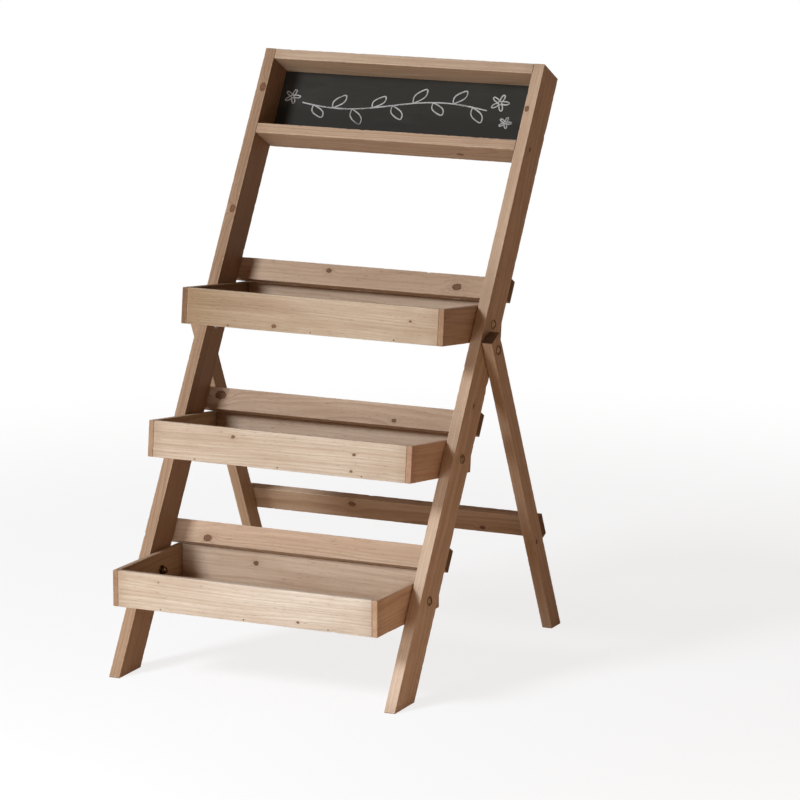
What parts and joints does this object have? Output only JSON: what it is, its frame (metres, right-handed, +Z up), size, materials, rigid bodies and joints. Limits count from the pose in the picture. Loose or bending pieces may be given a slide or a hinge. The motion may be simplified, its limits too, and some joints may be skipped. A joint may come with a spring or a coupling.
{
  "type": "folding plant rack",
  "caption": "Leaning wooden plant rack with swing-up pot trays between its stiles, a chalkboard panel on top and a hinged rear leg frame that folds in behind it.",
  "frame": {"origin": "on the ground under the middle of the open rack's box", "axes": "+X to the rack's right seen from the front, +Y to the back, +Z up"},
  "size_m": [0.4692, 0.5407, 0.7909],
  "materials": {
    "frame_wood": "oiled, matte",
    "tray_wood": "oiled, matte",
    "chalk_panel": "chalk paint",
    "beech_dowel": "raw",
    "bronzed_steel": "bronzed, satin",
    "zinc_steel": "zinc plated"
  },
  "bodies": {
    "front_frame": {"left_stile": "frame_wood", "right_stile": "frame_wood", "top_rail": "frame_wood", "board_rail": "frame_wood", "rail_dowels": "beech_dowel", "chalkboard": "chalk_panel", "board_pins": "zinc_steel", "top_batten": "frame_wood", "middle_batten": "frame_wood", "bottom_batten": "frame_wood", "batten_screws": "zinc_steel", "leg_bolts": "bronzed_steel", "leg_inserts": "zinc_steel", "leg_washers": "bronzed_steel", "top_tray_bolts": "bronzed_steel", "top_tray_washers": "bronzed_steel", "top_tray_nuts": "bronzed_steel", "middle_tray_bolts": "bronzed_steel", "middle_tray_washers": "bronzed_steel", "middle_tray_nuts": "bronzed_steel", "bottom_tray_bolts": "bronzed_steel", "bottom_tray_washers": "bronzed_steel", "bottom_tray_nuts": "bronzed_steel"},
    "rear_frame": {"left_rear_leg": "frame_wood", "right_rear_leg": "frame_wood", "rear_cross_batten": "frame_wood", "cross_batten_screws": "zinc_steel"},
    "top_tray": {"top_tray_left_side": "tray_wood", "top_tray_right_side": "tray_wood", "top_tray_front": "tray_wood", "top_tray_back": "tray_wood", "top_tray_floor": "tray_wood", "top_tray_brads": "zinc_steel"},
    "middle_tray": {"middle_tray_left_side": "tray_wood", "middle_tray_right_side": "tray_wood", "middle_tray_front": "tray_wood", "middle_tray_back": "tray_wood", "middle_tray_floor": "tray_wood", "middle_tray_brads": "zinc_steel"},
    "bottom_tray": {"bottom_tray_left_side": "tray_wood", "bottom_tray_right_side": "tray_wood", "bottom_tray_front": "tray_wood", "bottom_tray_back": "tray_wood", "bottom_tray_floor": "tray_wood", "bottom_tray_brads": "zinc_steel"}
  },
  "joints": [
    {"name": "rear_leg_fold", "type": "hinge", "parent": "front_frame", "child": "rear_frame", "pos_m": [0, 0.03594, 0.43065], "axis": [-1, 0, 0], "range_deg": [0, 46.5]},
    {"name": "top_tray_fold", "type": "hinge", "parent": "front_frame", "child": "top_tray", "pos_m": [0, 0.05481, 0.46143], "axis": [-1, 0, 0], "range_deg": [0, 113.5]},
    {"name": "middle_tray_fold", "type": "hinge", "parent": "front_frame", "child": "middle_tray", "pos_m": [0, -0.04604, 0.29687], "axis": [-1, 0, 0], "range_deg": [0, 113.5]},
    {"name": "bottom_tray_fold", "type": "hinge", "parent": "front_frame", "child": "bottom_tray", "pos_m": [0, -0.15043, 0.12651], "axis": [-1, 0, 0], "range_deg": [0, 120]}
  ]
}
